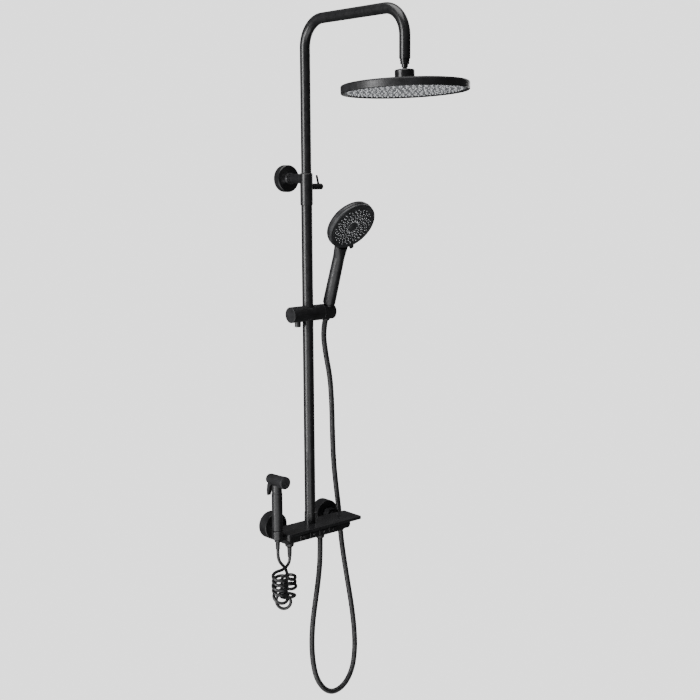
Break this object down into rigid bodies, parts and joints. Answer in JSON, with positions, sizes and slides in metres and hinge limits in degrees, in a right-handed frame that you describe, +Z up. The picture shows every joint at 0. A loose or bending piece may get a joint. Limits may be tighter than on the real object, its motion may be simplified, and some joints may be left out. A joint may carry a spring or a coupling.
{
  "type": "rainfall shower column",
  "caption": "Wall shower column: shelf mixer with push keys, telescopic gooseneck with round rain head, sliding hand shower and a bidet sprayer on a curly hose.",
  "frame": {"origin": "on the finished wall plane, midway between the centres of the two water inlets", "axes": "+X to the right as seen from the room, -Y out of the wall into the room, +Z up along the riser"},
  "size_m": [0.2804, 0.5157, 1.5367],
  "materials": {
    "satin_black": "satin black powder coat",
    "shelf_black": "fine satin black, a little smoother",
    "black_plastic": "matt black moulded plastic",
    "key_black": "smooth black",
    "dark_face": "dark grey matt",
    "grey_face": "light grey satin",
    "pale_nozzles": "pale silicone",
    "seal_rubber": "matt rubber",
    "white_bush": "natural acetal",
    "bare_brass": "machined brass",
    "steel": "brushed stainless",
    "black_nut": "satin black",
    "black_hose": "ribbed black hose"
  },
  "bodies": {
    "root": {"mixer_body": "satin_black", "front_fascia": "satin_black", "left_end_cap": "satin_black", "shelf_plate": "shelf_black", "shelf_end": "shelf_black", "mixing_cartridge": "bare_brass", "key_valves": "bare_brass", "union_nuts": "satin_black", "inlet_filters": "seal_rubber", "left_inlet_connector": "satin_black", "right_inlet_connector": "satin_black", "left_escutcheon": "satin_black", "right_escutcheon": "satin_black", "riser_socket": "satin_black", "lower_riser_tube": "satin_black", "upper_collar": "satin_black", "collar_seal": "seal_rubber", "wall_plate": "steel", "flange_cover": "satin_black", "flange_grub_screw": "steel", "hand_outlet_nipple": "black_nut", "hand_hose_lower_nut": "black_nut", "bidet_outlet_nipple": "black_nut", "bidet_hose_nut": "black_nut", "bidet_holder": "satin_black", "shower_hose": "black_hose", "bidet_hose_outlet_end": "black_hose", "bidet_hose_sprayer_end": "black_hose", "bidet_hose_coil": "black_hose"},
    "riser_bush": {"riser_guide_bush": "white_bush"},
    "gooseneck_arm": {"gooseneck_tube": "satin_black", "arm_end_nut": "satin_black", "ball_stud": "black_nut"},
    "ball_carrier": {"ball_seat": "white_bush"},
    "rain_head": {"rain_head_hub": "satin_black", "rain_head_shell": "black_plastic", "rain_head_face": "grey_face", "rain_nozzle_mat": "pale_nozzles"},
    "lift_lock": {"lock_barrel": "satin_black", "lock_pin": "satin_black"},
    "slider": {"slider_body": "black_plastic", "slider_bush": "dark_face", "slider_end_cap": "black_plastic"},
    "slide_button": {"slider_button": "black_plastic"},
    "hand_cradle": {"cradle": "black_plastic"},
    "hand_shower": {"hand_shower_shell": "black_plastic", "hand_hose_nut": "black_plastic"},
    "spray_selector": {"spray_disc": "dark_face", "spray_nozzles": "pale_nozzles"},
    "rain_key": {"rain_key": "key_black"},
    "hand_key": {"hand_key": "key_black"},
    "sprayer_key": {"sprayer_key": "key_black"},
    "stop_key": {"stop_key": "key_black"},
    "temperature_knob": {"temperature_knob": "satin_black"},
    "bidet_sprayer": {"sprayer_body": "black_plastic", "sprayer_nozzle": "dark_face", "sprayer_hose_nut": "black_nut"},
    "sprayer_trigger": {"sprayer_trigger": "black_plastic", "trigger_pin": "steel"}
  },
  "joints": [
    {"name": "riser_height", "type": "slide", "parent": "root", "child": "riser_bush", "axis": [0, 0, 1], "range_m": [-0.15, 0.15]},
    {"name": "arm_swivel", "type": "hinge", "parent": "riser_bush", "child": "gooseneck_arm", "pos_m": [-0.019, -0.076, 0.47], "axis": [0, 0, 1], "range_deg": [-60, 60]},
    {"name": "head_turn", "type": "hinge", "parent": "gooseneck_arm", "child": "ball_carrier", "pos_m": [-0.019, -0.378, 0.9645], "axis": [0, 0, 1], "continuous": true},
    {"name": "head_tilt", "type": "hinge", "parent": "ball_carrier", "child": "rain_head", "pos_m": [-0.019, -0.378, 0.9645], "axis": [1, 0, 0], "range_deg": [-10, 10]},
    {"name": "lift_lock_turn", "type": "hinge", "parent": "root", "child": "lift_lock", "pos_m": [-0.019, -0.076, 0.7535], "axis": [1, 0, 0], "range_deg": [0, 90]},
    {"name": "slider_height", "type": "slide", "parent": "root", "child": "slider", "axis": [0, 0, 1], "range_m": [-0.3, 0.11], "deforming": ["shower_hose"]},
    {"name": "slide_button_press", "type": "slide", "parent": "slider", "child": "slide_button", "axis": [0, 0, 1], "range_m": [0, 0.0035], "stiffness_N_per_m": 900},
    {"name": "cradle_tilt", "type": "hinge", "parent": "slider", "child": "hand_cradle", "pos_m": [0.019, -0.076, 0.4806], "axis": [1, 0, 0], "range_deg": [-10, 30], "deforming": ["shower_hose"]},
    {"name": "hand_shower_lift", "type": "slide", "parent": "hand_cradle", "child": "hand_shower", "axis": [0, -0.3156, 0.9489], "range_m": [0, 0.025], "deforming": ["shower_hose"]},
    {"name": "spray_select", "type": "hinge", "parent": "hand_shower", "child": "spray_selector", "pos_m": [0.036, -0.1635, 0.6685], "axis": [0, -0.8221, -0.5693], "range_deg": [0, 45]},
    {"name": "rain_key_press", "type": "slide", "parent": "root", "child": "rain_key", "axis": [0, 1, 0], "range_m": [0, 0.0025], "stiffness_N_per_m": 800},
    {"name": "hand_key_press", "type": "slide", "parent": "root", "child": "hand_key", "axis": [0, 1, 0], "range_m": [0, 0.0025], "stiffness_N_per_m": 800},
    {"name": "sprayer_key_press", "type": "slide", "parent": "root", "child": "sprayer_key", "axis": [0, 1, 0], "range_m": [0, 0.0025], "stiffness_N_per_m": 800},
    {"name": "stop_key_press", "type": "slide", "parent": "root", "child": "stop_key", "axis": [0, 1, 0], "range_m": [0, 0.0025], "stiffness_N_per_m": 800},
    {"name": "temperature_turn", "type": "hinge", "parent": "root", "child": "temperature_knob", "pos_m": [0.047, -0.078, -0.0116], "axis": [1, 0, 0], "range_deg": [-60, 60]},
    {"name": "sprayer_lift", "type": "slide", "parent": "root", "child": "bidet_sprayer", "axis": [0, 0, 1], "range_m": [0, 0.04], "deforming": ["bidet_hose_sprayer_end"]},
    {"name": "trigger_squeeze", "type": "hinge", "parent": "bidet_sprayer", "child": "sprayer_trigger", "pos_m": [-0.13, -0.079, 0.123], "axis": [1, 0, 0], "range_deg": [-7, 0], "stiffness_Nm_per_rad": 0.6}
  ]
}
